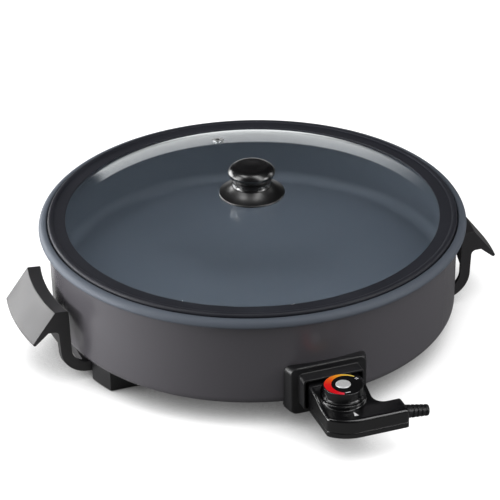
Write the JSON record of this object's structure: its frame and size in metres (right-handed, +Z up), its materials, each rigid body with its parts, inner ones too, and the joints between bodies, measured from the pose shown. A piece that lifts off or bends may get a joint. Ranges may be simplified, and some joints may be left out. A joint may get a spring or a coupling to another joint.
{
  "type": "electric wok",
  "caption": "Round electric wok: coated pan in a drawn shell on two moulded handles with foot bars, lift-off domed glass lid and plug-in temperature control with a dial.",
  "frame": {"origin": "on the pan's axis, on the plane that the foot bars stand on", "axes": "+Z up along the pan's axis; the temperature control plugs in from -Y; the handles lie along +X and -X"},
  "size_m": [0.443, 0.442, 0.1574],
  "materials": {
    "pan_coating": "satin slate-blue non-stick coating on cast aluminium",
    "shell_finish": "satin grey-brown heat-resistant paint",
    "plate_steel": "plain sheet, lightly brushed",
    "screw_steel": "bright zinc or nickel plate",
    "element_sheath": "dull, heat-darkened tube",
    "ceramic": "off-white glazed ceramic",
    "contact_metal": "bright nickel plate",
    "matt_black": "fine-grained satin black phenolic",
    "lid_glass": "clear polished glass",
    "silicone": "smooth satin dark grey silicone",
    "gloss_black": "polished black phenolic",
    "brass": "machined brass",
    "probe_steel": "ground stainless rod",
    "soft_black": "soft satin black",
    "dial_print": "black disc with a printed heat band",
    "cap_silver": "spun satin silver"
  },
  "bodies": {
    "base": {"pan": "pan_coating", "outer_shell": "shell_finish", "bottom_plate": "plate_steel", "bottom_plate_screws": "screw_steel", "heating_element": "element_sheath", "element_clamps": "plate_steel", "clamp_screws": "screw_steel", "terminal_bushings": "ceramic", "terminal_pins": "contact_metal", "terminal_bracket": "plate_steel", "probe_tube": "plate_steel", "probe_guard": "matt_black", "guard_screws": "screw_steel", "handle_left": "matt_black", "handle_right": "matt_black", "foot_left": "matt_black", "foot_right": "matt_black", "handle_screws": "screw_steel"},
    "lid": {"lid_glass": "lid_glass", "lid_ring": "silicone", "vent_grommet": "screw_steel", "knob": "gloss_black", "knob_base": "gloss_black", "knob_insert": "brass", "knob_screw": "screw_steel", "knob_washer": "screw_steel", "knob_gasket": "silicone"},
    "control": {"control_housing": "gloss_black", "control_cover": "gloss_black", "housing_screws": "screw_steel", "probe_rod": "probe_steel", "contact_sleeves": "brass", "contact_carrier": "ceramic", "thermostat_plate": "plate_steel", "contact_blades": "brass", "blade_stack": "ceramic", "stack_screw": "screw_steel", "strain_relief": "soft_black"},
    "dial": {"dial_knob": "gloss_black", "dial_face": "dial_print", "dial_cap": "cap_silver", "dial_shaft": "screw_steel"}
  },
  "joints": [
    {"name": "lid_lift", "type": "slide", "parent": "base", "child": "lid", "axis": [0, 0, 1], "range_m": [0, 0.15]},
    {"name": "control_pull", "type": "slide", "parent": "base", "child": "control", "axis": [0, -1, 0], "range_m": [0, 0.09]},
    {"name": "dial_turn", "type": "hinge", "parent": "control", "child": "dial", "pos_m": [0, -0.2176, 0.05], "axis": [0, 0, -1], "range_deg": [0, 300]}
  ]
}
